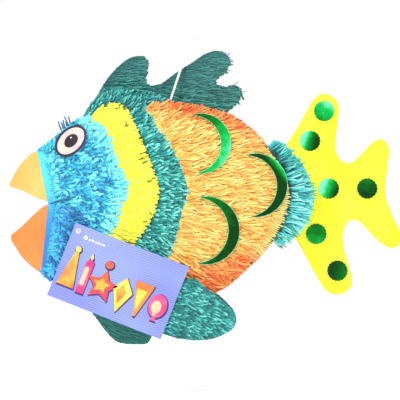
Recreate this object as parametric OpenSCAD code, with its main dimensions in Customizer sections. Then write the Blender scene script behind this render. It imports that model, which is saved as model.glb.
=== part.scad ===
// Hanging fish pinata: two board panels and a card wall, covered with tissue fringe.
// X runs from the mouth to the tail, Y through the body, +Y to the back, Z up.
// The origin is the point of the hanging loop that a hook bears on.

/* [Body] */
// Depth of the body over the outer faces of its two panels
body_depth = 96; // [84:1:110]
// Thickness of the corrugated board of the panels
panel_t = 3; // [2:0.5:4]
// Thickness of the card walls that join the panels
wall_t = 2.5; // [1.5:0.5:3]

/* [Paper covering] */
// Thickness of the fringe on the two panels
fringe_t = 7; // [5:0.5:8]
// Thickness of the fringe around the rim
rim_t = 5; // [4:0.5:6]
// Thickness of the pressed fringe on the flat fins
fin_fringe_t = 2; // [1:0.5:2.5]
// Thickness of the plain tissue on the tail and the nose
tissue_t = 0.8; // [0.5:0.1:1.2]
// Thickness of the foil scales, the foil dots and the eyes
foil_t = 1; // [0.5:0.1:1.5]
// Radius of a foil dot on the tail
dot_r = 13; // [10:0.5:14]
// Long radius of an eye
eye_long = 23.5; // [18:0.5:26]
// Short radius of an eye
eye_short = 16; // [12:0.5:18]

/* [Fins and beak] */
// Thickness of the card of the fins and the tail
fin_t = 3; // [2:0.5:3.5]
// Clearance of a fin's tab in its slot
slot_gap = 0.3; // [0.1:0.1:0.5]
// Width of the beak where it meets the nose
beak_w = 62; // [40:1:80]
// Width of the beak at its tip
beak_tip_w = 12; // [6:1:20]
// Thickness of the folded card of the beak
beak_t = 1.5; // [1:0.25:2]

/* [Hanger] */
// Diameter of the cord of the hanging loop
cord_d = 3; // [2.5:0.1:3.2]
// Radius of the knots that hold the loop
knot_r = 4; // [3.5:0.1:4]
// Thickness of the plate that carries the loop
plate_t = 3; // [2:0.5:3]
// Width of that plate
plate_w = 52; // [48:1:60]

/* [Fill flap] */
// Width of the flap
flap_w = 64; // [50:1:66]
// Height of the flap
flap_h = 84; // [60:1:84]
// Gap around the flap
flap_gap = 1; // [0.5:0.1:1.5]

/* [Tag] */
// Width of the product tag
tag_w = 154; // [100:1:160]
// Height of the product tag
tag_h = 98; // [70:1:100]
// Thickness of the product tag
tag_t = 0.8; // [0.5:0.1:1]
// Slope of the tag's top edge
tag_angle = -21.5; // [-25:0.5:-18]

/* [Hidden] */

span_steps = 3;          // straight steps between two points of an outline
far = 400;               // beyond every outline
half = body_depth / 2;   // outer face of a panel
inner = half - panel_t;  // inner face of a panel
skin = half + fringe_t;  // outer face of the fringe on a panel
hang = [19.5, 0, 194.5];   // underside of the loop's top, measured from the body's centre

teal = "#1f9a94";
blue = "#35b6e6";
yellow = "#f7ee2f";
orange = "#f9a13a";
green = "#0d8a34";
kraft = "#c49a6c";

// Outline of the covered body, clockwise from the top of the nose to the chin.
// Points 3, 9, 13, 17, 22, 24 and 25 are where the rim changes colour.
body_keys = [[-183, 55], [-165, 66], [-144, 83], [-127, 94], [-114, 110], [-100, 124], [-76, 130],
    [-43, 127], [-25, 121], [-6, 114], [15, 110], [58, 99.3], [88, 81], [114, 55], [132, 29],
    [141.5, -5], [134, -37], [120, -64], [102, -85], [75, -111], [52, -128], [20, -139], [-38, -145],
    [-70, -145], [-105, -140], [-132, -133], [-163, -116], [-178, -102]];
mouth = [-166, -18];     // corner of the mouth, where the nose is hollowed

// Edges between the colours of a panel, from top to bottom.
face_edge_keys = [[-128, 104], [-117, 89], [-92, 68], [-80, 32], [-70, 8], [-76, -18], [-95, -66],
    [-120, -112], [-134, -150]];
yellow_edge_keys = [[-117, 89], [-98, 103], [-75, 106], [-58, 78], [-42, 38], [-29, 0], [-38, -34],
    [-60, -68], [-88, -110], [-108, -155]];
teal_edge_keys = [[4, 140], [-2, 114], [-16, 111], [-34, 108], [-44, 104], [-38, 94], [-26, 74],
    [-6, 44], [9, 4], [2, -30], [-8, -68], [-26, -106], [-41, -155]];

// Outlines of the fins, drawn past the body's edge where they meet it.
dorsal_keys = [[-122, 98], [-108, 118], [-94, 141], [-80, 157], [-65, 168.5], [-51, 171], [-42, 165],
    [-42, 152], [-44, 140], [-36, 131], [-24, 136], [-5, 150], [14, 162], [32, 174], [48, 178],
    [60, 172], [64, 162], [57, 151], [47, 142], [46, 133], [56, 131], [68, 134], [77, 128],
    [77, 118], [68, 108], [56, 97]];
pelvic_keys = [[-119, -130], [-116, -150], [-106, -165], [-97, -178], [-85, -190], [-73, -196],
    [-58, -197], [-42, -196], [-35, -184], [-28, -164], [-23, -134]];
pectoral_keys = [[-8, -115], [8, -113], [19, -112], [28, -120], [45, -132], [60, -145], [71, -160],
    [68, -174], [55, -183], [38, -189], [15, -190], [-12, -185], [-30, -177], [-39, -160],
    [-36, -137], [-24, -121]];
tail_keys = [[114, 44], [131, 53], [145, 72], [157, 93], [167, 111], [175, 120], [186, 123], [197, 117],
    [203, 106], [201, 84], [198, 58], [203, 41], [215, 34], [228, 42], [245, 60], [258, 65],
    [267, 53], [265, 28], [262, -3], [270, -30], [281, -54], [280, -69], [268, -74], [250, -62],
    [230, -41], [216, -39], [208, -55], [210, -78], [218, -106], [218, -124], [204, -133],
    [186, -128], [167, -97], [149, -64], [136, -52],
    [117, -46]];
ruff_keys = [[117.5, 58], [131, 51], [146, 35], [158, 14], [164, -8], [159, -32], [146, -51],
    [124, -67]];

// Side views of the two halves of the beak.
upper_beak_outline = [[-181.5, 49.5], [-187, 48], [-194, 43], [-200.5, 36.5], [-206.5, 28.5],
    [-212.5, 18.5], [-218, 7], [-216, 4],
    [-200, -1], [-186, -8], [-177.5, -11.8], [-168, -14.8]];
lower_beak_outline = [[-162, -14.5], [-168, -18], [-177, -23], [-187, -32], [-201, -45.5],
    [-216, -58], [-215, -65], [-202, -85], [-189, -97.5], [-178, -105], [-168, -112]];
beak_gap = 0.3;          // between the lower beak's edge and the nose

// Each foil scale: middle of the line between its tips, slope of that line, and size.
scales = [[[17.5, 58], 5, 0.94], [[86, 5], 5.5, 1], [[22, -51], -1, 1.07]];
scale_chord = 78;
scale_outer = 50;        // reach of the outer arc from the line between the tips
scale_inner = 37;        // reach of the inner arc
dot_places = [[184, 101], [166, 63], [190, 2], [239, 2], [174, -56], [201, -103]];
dot_scallops = 18;
eye_at = [-138, 62];
eye_angle = 45;

dorsal_tab = [-98, -48];     // along X
pelvic_tab = [-98, -44];     // along X
tail_tab = [-40, 32];        // along Z
tab_depth = 12;
tab_at = [-21, -127];        // middle of a pectoral fin's root tab
tab_size = [22, 16];
nose_flange = 9;             // width of the nose tissue on the panels

plate_l = 84;
plate_at = [15, 0, 99.5];
plate_slope = 13.26;

flap_at = [48, -50];
flap_r = 6;
flap_top = flap_at[1] + flap_h / 2;
flap_window = [4, 10];       // clear of fringe beside and above the flap

pectoral_y = skin + 1;       // inner face of a pectoral fin
pectoral_t = 2;
tag_at = [-78, -115];
tag_y = pectoral_y + pectoral_t + fin_fringe_t + 1.5;
pin_at = [-128, -52];
pin_r = 0.9;
pin_head_r = 4;
pin_bar_l = 14;

// Centre line of the hanging loop, from the front knot over the top to the rear knot.
cord_route = [[-16.5, -17, 101], [-14, -16, 109], [-6.5, -12.5, 132], [1, -9, 155], [8, -5.5, 176],
    [13, -3.5, 191], [14.5, -2.5, 194], [17, -1.3, 195.5], [19.5, 0, 196], [22.5, 1.5, 195.5],
    [25, 2.7, 193.5], [26.5, 3.5, 190], [29, 6.5, 170], [31.5, 9.5, 150], [35, 13, 125],
    [37.5, 16.5, 104], [39.5, 18.5, 88]];
cord_sides = 8;

// ---- curves -------------------------------------------------------------------------------

function cubic(a, b, c, d, t) =
    0.5 * (2 * b + (c - a) * t + (2 * a - 5 * b + 4 * c - d) * t * t
        + (3 * b - a - 3 * c + d) * t * t * t);
// A smooth line through points, and the same for a closed outline.
function smooth(p, n) = let (m = len(p) - 1)
    [for (i = [0:m - 1]) for (j = [0:n - 1])
        cubic(p[max(i - 1, 0)], p[i], p[i + 1], p[min(i + 2, m)], j / n), p[m]];
function smooth_loop(p, n) = let (m = len(p))
    [for (i = [0:m - 1]) for (j = [0:n - 1])
        cubic(p[(i + m - 1) % m], p[i], p[(i + 1) % m], p[(i + 2) % m], j / n)];
function unit(v) = v / norm(v);
function outward(p, i) = let (v = unit(p[min(i + 1, len(p) - 1)] - p[max(i - 1, 0)])) [-v[1], v[0]];
// A line moved sideways: outward on a clockwise outline if d is positive.
function moved(p, d) = [for (i = [0:len(p) - 1]) p[i] + d * outward(p, i)];
function piece(p, a, b) = [for (i = [a:b]) p[i]];
function reversed(p) = [for (i = [len(p) - 1:-1:0]) p[i]];
function turned(p, a) = [p[0] * cos(a) - p[1] * sin(a), p[0] * sin(a) + p[1] * cos(a)];
function arc(chord, reach, n) = let (r = (chord * chord / 4 + reach * reach) / (2 * reach),
        a = reach > r ? 180 - asin(chord / 2 / r) : asin(chord / 2 / r))
    [for (i = [0:n]) let (t = a - 2 * a * i / n) [reach - r + r * cos(t), r * sin(t)]];
function rounded(w, h, r) =
    [for (c = [[1, 1, 0], [-1, 1, 90], [-1, -1, 180], [1, -1, 270]]) for (i = [0:4])
        [c[0] * (w / 2 - r) + r * cos(c[2] + i * 22.5), c[1] * (h / 2 - r) + r * sin(c[2] + i * 22.5)]];

skin_line = smooth(body_keys, span_steps);
card_line = moved(skin_line, -rim_t);
wall_line = moved(card_line, -wall_t);
card_outline = concat(card_line, [mouth]);
nose_line = [card_line[len(card_line) - 1], mouth, card_line[0]];
chin = skin_line[len(skin_line) - 1];
// Everything behind the line to which the lower beak is cut.
beak_stop = concat([[chin[0] - beak_gap, -far], chin - [beak_gap, 0]],
    [for (p = nose_line) p - [tissue_t + beak_gap, 0]],
    [[nose_line[2][0] - tissue_t - beak_gap, far], [0, far], [0, -far]]);
face_edge = smooth(face_edge_keys, span_steps);
yellow_edge = smooth(yellow_edge_keys, span_steps);
teal_edge = smooth(teal_edge_keys, span_steps);
ruff_line = smooth(ruff_keys, span_steps);
dorsal_outline = smooth(dorsal_keys, span_steps);
pelvic_outline = smooth(pelvic_keys, span_steps);
tail_outline = smooth(tail_keys, span_steps);
pectoral_outline = smooth_loop(pectoral_keys, span_steps);

// ---- helpers ------------------------------------------------------------------------------

// An outline in X and Z as a slab from y0 to y1.
module slab(y0, y1) {
    translate([0, y1, 0]) rotate([90, 0, 0]) linear_extrude(y1 - y0) children();
}

module on_back() {
    mirror([0, 1, 0]) children();
}

// A strip between two lines, from key point a to key point b.
module strip(outer_line, inner_line, a, b) {
    polygon(concat(piece(outer_line, a * span_steps, b * span_steps),
        reversed(piece(inner_line, a * span_steps, b * span_steps))));
}

module wall(a, b) {
    slab(-inner, inner) strip(card_line, wall_line, a, b);
}

module rim(a, b) {
    slab(-half, half) strip(skin_line, card_line, a, b);
}

// A rod from a to b.
module rod(a, b, r) {
    v = b - a;
    translate(a) rotate([0, acos(v[2] / norm(v)), atan2(v[1], v[0])]) cylinder(h = norm(v), r = r, $fn = 32);
}

// The ways of the two strands of the loop through wall, plate and fringe.
module strand_ways() {
    way_r = cord_d / 2 + 0.6;
    last = len(cord_route) - 1;
    for (ends = [[cord_route[0], cord_route[2]], [cord_route[last], cord_route[last - 2]]])
        rod(ends[1] + 1.15 * (ends[0] - ends[1]), ends[1], way_r);
}

// The space of a pectoral fin's root tab, of one side.
module root_tab(grow, y0, y1) {
    slab(-y1, -y0) translate(tab_at)
        square([tab_size[0] + 2 * grow, tab_size[1] + 2 * grow], center = true);
}

module pin_way(y0, y1, r) {
    translate([pin_at[0], y1, pin_at[1]]) rotate([90, 0, 0]) cylinder(h = y1 - y0, r = r, $fn = 32);
}

// ---- body ---------------------------------------------------------------------------------

module front_panel() {
    color(kraft) difference() {
        slab(-half, -inner) polygon(card_outline);
        pin_way(-half - 1, -inner + 1, pin_r + 0.3);
    }
}

module back_panel() {
    color(kraft) slab(inner, half) difference() {
        polygon(card_outline);
        translate(flap_at) polygon(rounded(flap_w + 2 * flap_gap, flap_h + 2 * flap_gap, flap_r));
    }
}

module nose_wall() {
    inside = wall_t * 1.05;
    color(kraft) slab(-inner, inner) difference() {
        polygon([nose_line[0], nose_line[1], nose_line[2], nose_line[2] + [inside, 0],
            nose_line[1] + [inside, 0], nose_line[0] + [inside, 0]]);
        strip(card_line, moved(card_line, -wall_t), 0, 3);
        strip(card_line, moved(card_line, -wall_t), 24, 27);
    }
}

module forehead_wall() {
    color(kraft) wall(0, 3);
}

module dorsal_wall() {
    color(kraft) difference() {
        wall(3, 13);
        slab(-fin_t / 2 - slot_gap, fin_t / 2 + slot_gap)
            translate([dorsal_tab[0] - slot_gap, 90])
                square([dorsal_tab[1] - dorsal_tab[0] + 2 * slot_gap, 60]);
        strand_ways();
    }
}

module tail_wall() {
    color(kraft) difference() {
        wall(13, 17);
        slab(-fin_t / 2 - slot_gap, fin_t / 2 + slot_gap)
            translate([110, tail_tab[0] - slot_gap])
                square([60, tail_tab[1] - tail_tab[0] + 2 * slot_gap]);
    }
}

module belly_wall() {
    color(kraft) difference() {
        wall(17, 24);
        slab(-fin_t / 2 - slot_gap, fin_t / 2 + slot_gap)
            translate([pelvic_tab[0] - slot_gap, -160])
                square([pelvic_tab[1] - pelvic_tab[0] + 2 * slot_gap, 40]);
    }
}

module chin_wall() {
    color(kraft) wall(24, 27);
}

module nose_tissue() {
    color(blue) {
        slab(-half, half) polygon(concat(nose_line, reversed([for (p = nose_line) p - [tissue_t, 0]])));
        for (y = [-half - tissue_t, half]) {
            slab(y, y + tissue_t) intersection() {
                polygon(card_outline);
                polygon(concat(nose_line, reversed([for (p = nose_line) p + [nose_flange, 0]])));
            }
        }
    }
}

// ---- hanger -------------------------------------------------------------------------------

module hanger_plate() {
    color("tan") difference() {
        translate(plate_at) rotate([0, plate_slope, 0]) cube([plate_l, plate_w, plate_t], center = true);
        strand_ways();
    }
}

// A tube around a route. Every tangent is well away from Y, so Y serves for all the rings.
module tube(route, r, sides) {
    rings = [for (i = [0:len(route) - 1])
        let (t = unit(route[min(i + 1, len(route) - 1)] - route[max(i - 1, 0)]),
            u = unit(cross(t, [0, 1, 0])), v = cross(t, u))
        for (k = [0:sides - 1]) route[i] + r * (cos(k * 360 / sides) * u + sin(k * 360 / sides) * v)];
    last = (len(route) - 1) * sides;
    polyhedron(rings, concat(
        [[for (k = [0:sides - 1]) k]],
        [for (i = [0:len(route) - 2]) for (k = [0:sides - 1])
            let (a = i * sides, b = a + sides, next = (k + 1) % sides) [a + k, b + k, b + next, a + next]],
        [[for (k = [sides - 1:-1:0]) last + k]]));
}

module hanging_loop() {
    color("white") tube(smooth(cord_route, 3), cord_d / 2, cord_sides);
}

module loop_knots() {
    color("white") for (p = [cord_route[0], cord_route[len(cord_route) - 1]])
        translate(p) sphere(r = knot_r, $fn = 32);
}

// ---- fins, tail and beak --------------------------------------------------------------------

module outside_body(outline) {
    difference() {
        polygon(outline);
        polygon(card_outline);
    }
}

// The depth that a fin's tab reaches into the body, and 1 mm of the fin outside it.
module tab_band(a, b) {
    polygon(concat(piece(moved(card_line, 1), a, b), reversed(piece(moved(card_line, -tab_depth), a, b))));
}

module fin_fringe(outline) {
    slab(-fin_t / 2 - fin_fringe_t, -fin_t / 2) outside_body(outline);
}

module dorsal_fin() {
    color(teal) slab(-fin_t / 2, fin_t / 2) {
        outside_body(dorsal_outline);
        intersection() {
            translate([dorsal_tab[0], 90]) square([dorsal_tab[1] - dorsal_tab[0], 50]);
            tab_band(9, 30);
        }
    }
}

module pelvic_fin() {
    color(teal) slab(-fin_t / 2, fin_t / 2) {
        outside_body(pelvic_outline);
        intersection() {
            translate([pelvic_tab[0], -160]) square([pelvic_tab[1] - pelvic_tab[0], 60]);
            tab_band(60, 78);
        }
    }
}

module tail_fin() {
    color(yellow) slab(-fin_t / 2, fin_t / 2) {
        outside_body(tail_outline);
        intersection() {
            translate([110, tail_tab[0]]) square([60, tail_tab[1] - tail_tab[0]]);
            tab_band(36, 54);
        }
    }
}

module dorsal_fringe_front() {
    color(teal) fin_fringe(dorsal_outline);
}

module dorsal_fringe_back() {
    on_back() dorsal_fringe_front();
}

module pelvic_fringe_front() {
    color(teal) fin_fringe(pelvic_outline);
}

module pelvic_fringe_back() {
    on_back() pelvic_fringe_front();
}

module tail_tissue_front() {
    color(yellow) slab(-fin_t / 2 - tissue_t, -fin_t / 2) outside_body(tail_outline);
}

module tail_tissue_back() {
    on_back() tail_tissue_front();
}

module pectoral_fin_front() {
    color(teal) {
        slab(-pectoral_y - pectoral_t, -pectoral_y) polygon(pectoral_outline);
        root_tab(0, half, pectoral_y);
    }
}

module pectoral_fin_back() {
    on_back() pectoral_fin_front();
}

module pectoral_fringe_front() {
    color(teal) slab(-pectoral_y - pectoral_t - fin_fringe_t, -pectoral_y - pectoral_t)
        polygon(pectoral_outline);
}

module pectoral_fringe_back() {
    on_back() pectoral_fringe_front();
}

// A side view given the beak's taper from the nose to the tip, made narrower by inset.
module tapered(outline, inset) {
    nose_x = -160;
    tip_x = -222;
    intersection() {
        slab(-beak_w / 2, beak_w / 2) polygon(outline);
        translate([0, 0, -far / 2]) linear_extrude(far)
            polygon([[nose_x, beak_w / 2 - inset], [tip_x, beak_tip_w / 2 - inset],
                [tip_x, inset - beak_tip_w / 2], [nose_x, inset - beak_w / 2]]);
    }
}

// A hollow card wedge, open towards the nose.
module beak(outline) {
    ends = len(outline) - 1;
    core = moved(outline, -beak_t);
    difference() {
        tapered(outline, 0);
        tapered(concat([core[0] + [far / 20, -beak_t]], core, [core[ends] + [far / 20, beak_t]]), beak_t);
    }
}

module upper_beak() {
    color("#f9b64a") beak(reversed(upper_beak_outline));
}

module lower_beak() {
    color(orange) difference() {
        beak(reversed(lower_beak_outline));
        slab(-half, half) polygon(beak_stop);
    }
}

// ---- covering -----------------------------------------------------------------------------

module face_zone() {
    difference() {
        polygon(concat([[-far, far]], face_edge, [[-far, -far]]));
        polygon(concat([[-far, nose_line[2][1]]], reversed([for (p = nose_line) p + [nose_flange, 0]]),
            [[-far, nose_line[0][1]]]));
    }
}

module yellow_zone() {
    polygon(concat(yellow_edge, reversed(piece(face_edge, span_steps, len(face_edge) - 1))));
}

module teal_zone() {
    polygon(concat([[face_edge[0][0], far]], piece(face_edge, 0, span_steps), yellow_edge,
        reversed(teal_edge), [[teal_edge[0][0], far]]));
}

module orange_zone() {
    polygon(concat([[far, far]], [[far, -far]], reversed(teal_edge)));
}

// The fringe of one colour on the front panel.
module panel_fringe() {
    difference() {
        slab(-skin, -half) intersection() {
            polygon(card_outline);
            children();
        }
        root_tab(0.3, half - 1, skin + 1);
    }
}

module face_fringe_front() {
    color(blue) difference() {
        panel_fringe() face_zone();
        pin_way(-skin - 1, -half + 1, pin_r + 0.3);
    }
}

module face_fringe_back() {
    color(blue) on_back() panel_fringe() face_zone();
}

module yellow_fringe_front() {
    color(yellow) panel_fringe() yellow_zone();
}

module yellow_fringe_back() {
    on_back() yellow_fringe_front();
}

module teal_fringe_front() {
    color(teal) panel_fringe() teal_zone();
}

module teal_fringe_back() {
    on_back() teal_fringe_front();
}

module orange_fringe_front() {
    color(orange) panel_fringe() orange_zone();
}

module orange_fringe_back() {
    window_h = flap_h + flap_window[0] + flap_window[1];
    color(orange) on_back() panel_fringe() difference() {
        orange_zone();
        translate(flap_at + [0, (flap_window[1] - flap_window[0]) / 2])
            square([flap_w + 2 * flap_window[0], window_h], center = true);
    }
}

// A way for a fin of half thickness t through the rim's fringe.
module fin_way(t, x, z) {
    slab(-t, t) translate([x[0], z[0]]) square([x[1] - x[0], z[1] - z[0]]);
}

module rim_fringe_blue() {
    color(blue) {
        rim(0, 3);
        rim(25, 27);
    }
}

module rim_fringe_yellow() {
    color(yellow) difference() {
        rim(24, 25);
        fin_way(fin_t / 2 + fin_fringe_t + slot_gap, [-119, -100], [-160, -120]);
    }
}

module rim_fringe_teal() {
    color(teal) difference() {
        union() {
            rim(3, 9);
            rim(22, 24);
        }
        fin_way(fin_t / 2 + fin_fringe_t + slot_gap, [-130, 10], [-160, 140]);
        strand_ways();
    }
}

module rim_fringe_orange() {
    color(orange) difference() {
        union() {
            rim(9, 13);
            rim(17, 22);
        }
        fin_way(fin_t / 2 + fin_fringe_t + slot_gap, [-60, 60], [80, 140]);
        fin_way(fin_t / 2 + fin_fringe_t + slot_gap, [-40, -20], [-160, -120]);
        strand_ways();
    }
}

ruff_w = 16;             // width of the ruff's strip on a panel's edge

module tail_ruff_front() {
    color(teal) slab(-skin, ruff_w - skin) difference() {
        polygon(concat(ruff_line, reversed(piece(card_line, 13 * span_steps, 17 * span_steps))));
        polygon(card_outline);
    }
}

module tail_ruff_back() {
    on_back() tail_ruff_front();
}

module tail_ruff_rim() {
    color(teal) difference() {
        slab(ruff_w - skin, skin - ruff_w) strip(skin_line, card_line, 13, 17);
        fin_way(fin_t / 2 + tissue_t + slot_gap, [100, 180], [-90, 90]);
    }
}

// ---- decoration ---------------------------------------------------------------------------

module eye_front() {
    color("white") slab(-skin - foil_t, -skin) translate(eye_at)
        polygon([for (a = [0:10:350]) turned([eye_long * cos(a), eye_short * sin(a)], eye_angle)]);
}

module eye_back() {
    on_back() eye_front();
}

module foil_scale(i) {
    color(green) slab(-skin - foil_t, -skin) translate(scales[i][0]) rotate(scales[i][1])
        scale(scales[i][2])
            polygon(concat(arc(scale_chord, scale_outer, 16),
                piece(reversed(arc(scale_chord, scale_inner, 16)), 1, 15)));
}

module tail_dots_front() {
    y = fin_t / 2 + tissue_t;
    color(green) slab(-y - foil_t, -y) for (p = dot_places) translate(p)
        polygon([for (a = [0:5:355]) (dot_r + 0.5 * cos(a * dot_scallops)) * [cos(a), sin(a)]]);
}

module tail_dots_back() {
    on_back() tail_dots_front();
}

// ---- fill flap and tag ----------------------------------------------------------------------

module fill_flap() {
    color(kraft) slab(inner, half) translate(flap_at) polygon(rounded(flap_w, flap_h, flap_r));
}

module flap_fringe() {
    top_gap = fringe_t + 1;
    color(orange) slab(half, skin) translate(flap_at - [0, (top_gap - 1) / 2])
        polygon(rounded(flap_w - 2, flap_h - top_gap - 1, flap_r));
}

module tag_card() {
    color("#7f8df0") difference() {
        slab(-tag_y - tag_t, -tag_y) translate(tag_at) rotate(tag_angle)
            square([tag_w, tag_h], center = true);
        pin_way(-tag_y - tag_t - 1, 1 - tag_y, pin_r + 0.3);
    }
}

module tag_pin() {
    head_t = 1.2;
    head_y = tag_y + tag_t + 0.3;
    color("white") {
        pin_way(-head_y - head_t, -head_y, pin_head_r);
        pin_way(-head_y - 0.1, -inner + 2, pin_r);
        translate([pin_at[0], -inner + 1.6, pin_at[1] - pin_bar_l / 2])
            cylinder(h = pin_bar_l, r = 1.2, $fn = 24);
    }
}

translate(-hang) {
    front_panel();
    back_panel();
    nose_wall();
    forehead_wall();
    dorsal_wall();
    tail_wall();
    belly_wall();
    chin_wall();
    hanger_plate();
    hanging_loop();
    loop_knots();
    dorsal_fin();
    dorsal_fringe_front();
    dorsal_fringe_back();
    pelvic_fin();
    pelvic_fringe_front();
    pelvic_fringe_back();
    pectoral_fin_front();
    pectoral_fin_back();
    pectoral_fringe_front();
    pectoral_fringe_back();
    tail_fin();
    tail_tissue_front();
    tail_tissue_back();
    nose_tissue();
    upper_beak();
    lower_beak();
    face_fringe_front();
    face_fringe_back();
    yellow_fringe_front();
    yellow_fringe_back();
    teal_fringe_front();
    teal_fringe_back();
    orange_fringe_front();
    orange_fringe_back();
    rim_fringe_blue();
    rim_fringe_yellow();
    rim_fringe_teal();
    rim_fringe_orange();
    tail_ruff_front();
    tail_ruff_back();
    tail_ruff_rim();
    eye_front();
    eye_back();
    foil_scale(0);  // foil_scale_front_1
    foil_scale(1);  // foil_scale_front_2
    foil_scale(2);  // foil_scale_front_3
    on_back() foil_scale(0);  // foil_scale_back_1
    on_back() foil_scale(1);  // foil_scale_back_2
    tail_dots_front();
    tail_dots_back();
    fill_flap();
    flap_fringe();
    tag_card();
    tag_pin();
}
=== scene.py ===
"""The looks of a hanging fish pinata: tissue fringe, card fins, foil, eyes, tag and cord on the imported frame.

The fish faces -X, its front panel faces -Y, and the origin is the top of its hanging loop.
"""
import math

import bmesh
import bpy
import numpy as np
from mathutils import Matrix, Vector


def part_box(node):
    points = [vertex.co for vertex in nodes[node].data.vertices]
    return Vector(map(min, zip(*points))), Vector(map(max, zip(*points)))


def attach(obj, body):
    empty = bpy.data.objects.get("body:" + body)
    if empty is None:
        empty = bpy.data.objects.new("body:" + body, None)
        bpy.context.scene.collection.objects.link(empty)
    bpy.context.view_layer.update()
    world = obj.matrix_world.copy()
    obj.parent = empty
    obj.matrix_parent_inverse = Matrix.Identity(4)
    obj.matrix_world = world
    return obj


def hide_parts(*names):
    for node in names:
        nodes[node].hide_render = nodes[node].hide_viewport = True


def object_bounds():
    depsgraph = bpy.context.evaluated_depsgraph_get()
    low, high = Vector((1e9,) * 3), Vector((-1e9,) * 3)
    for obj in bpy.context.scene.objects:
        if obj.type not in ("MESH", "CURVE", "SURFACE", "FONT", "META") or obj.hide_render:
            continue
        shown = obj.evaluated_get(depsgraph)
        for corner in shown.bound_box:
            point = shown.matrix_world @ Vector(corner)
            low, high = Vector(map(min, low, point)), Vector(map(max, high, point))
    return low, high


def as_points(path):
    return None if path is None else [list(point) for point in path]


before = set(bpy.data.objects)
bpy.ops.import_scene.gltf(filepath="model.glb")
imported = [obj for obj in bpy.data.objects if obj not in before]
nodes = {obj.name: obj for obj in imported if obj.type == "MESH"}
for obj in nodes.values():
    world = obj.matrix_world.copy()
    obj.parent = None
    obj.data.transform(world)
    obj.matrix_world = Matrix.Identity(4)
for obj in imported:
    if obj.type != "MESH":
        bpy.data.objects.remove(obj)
cad_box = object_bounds()
rng = np.random.default_rng(7)

MM = 0.001
FRONT, BACK = -1.0, 1.0
SIDES = ((FRONT, "front"), (BACK, "back"))


def place(x, y, z):
    """The frame's point for one given in millimetres from the body's middle."""
    return np.array([x - 19.5, y, z - 194.5]) * MM


def flat(x, z):
    """The same for a point in X and Z only."""
    return place(x, 0, z)[[0, 2]]


def at_x(x):
    return flat(x, 0)[0]


def at_z(z):
    return flat(0, z)[1]


# ---- camera, light and floor ------------------------------------------------------------------

CAMERA_AIM = place(25.4, 0, -12.7)
CAMERA_DISTANCE = 5.0
VIEW_WIDTH = 0.5048        # what the camera spans from left to right
SENSOR = 36
LIGHTS = (("key", (-1.1, -1.6, 1.3), 0.7, 30), ("fill", (1.5, -1.3, 0.2), 1.4, 6),
          ("rear", (0.6, 1.9, 1.0), 1.4, 20))        # place, size and power
FLOOR_REACH, FLOOR_DROP = 60.0, 0.06


def show(name, data):
    ob = bpy.data.objects.new(name, data)
    bpy.context.collection.objects.link(ob)
    return ob


def camera_and_stage():
    lo = cad_box[0]
    cam = show("camera", bpy.data.cameras.new("camera"))
    cam.location = (CAMERA_AIM[0], lo[1] - CAMERA_DISTANCE, CAMERA_AIM[2])
    cam.rotation_euler = (math.radians(90), 0, 0)
    cam.data.sensor_width = SENSOR
    cam.data.lens = SENSOR * CAMERA_DISTANCE / VIEW_WIDTH
    bpy.context.scene.camera = cam

    for name, spot, size, watts in LIGHTS:
        light = bpy.data.lights.new(name, "AREA")
        light.shape, light.size, light.energy = "DISK", size, watts
        ob = show(name, light)
        ob.location = spot
        ob.rotation_euler = (Vector(CAMERA_AIM.tolist()) - ob.location).to_track_quat("-Z", "Y").to_euler()
    world = bpy.data.worlds.new("studio")
    world.use_nodes = True
    world.node_tree.nodes["Background"].inputs["Color"].default_value = (1, 1, 1, 1)
    bpy.context.scene.world = world
    bpy.context.scene.view_settings.view_transform = "Standard"

    floor = bpy.data.meshes.new("floor")
    corners = ((-1, -1), (1, -1), (1, 1), (-1, 1))
    floor.from_pydata([(x * FLOOR_REACH, y * FLOOR_REACH, lo[2] - FLOOR_DROP) for x, y in corners], [],
                      [(0, 1, 2, 3)])
    floor.materials.append(Shader("floor", 0.9).colour((0.995, 0.995, 0.995, 1)).mat)
    show("floor", floor)


# ---- materials ----------------------------------------------------------------------------------

def srgb(r, g, b):
    def linear(c):
        return c / 12.92 if c <= 0.04045 else ((c + 0.055) / 1.055) ** 2.4
    return linear(r), linear(g), linear(b), 1.0


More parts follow.
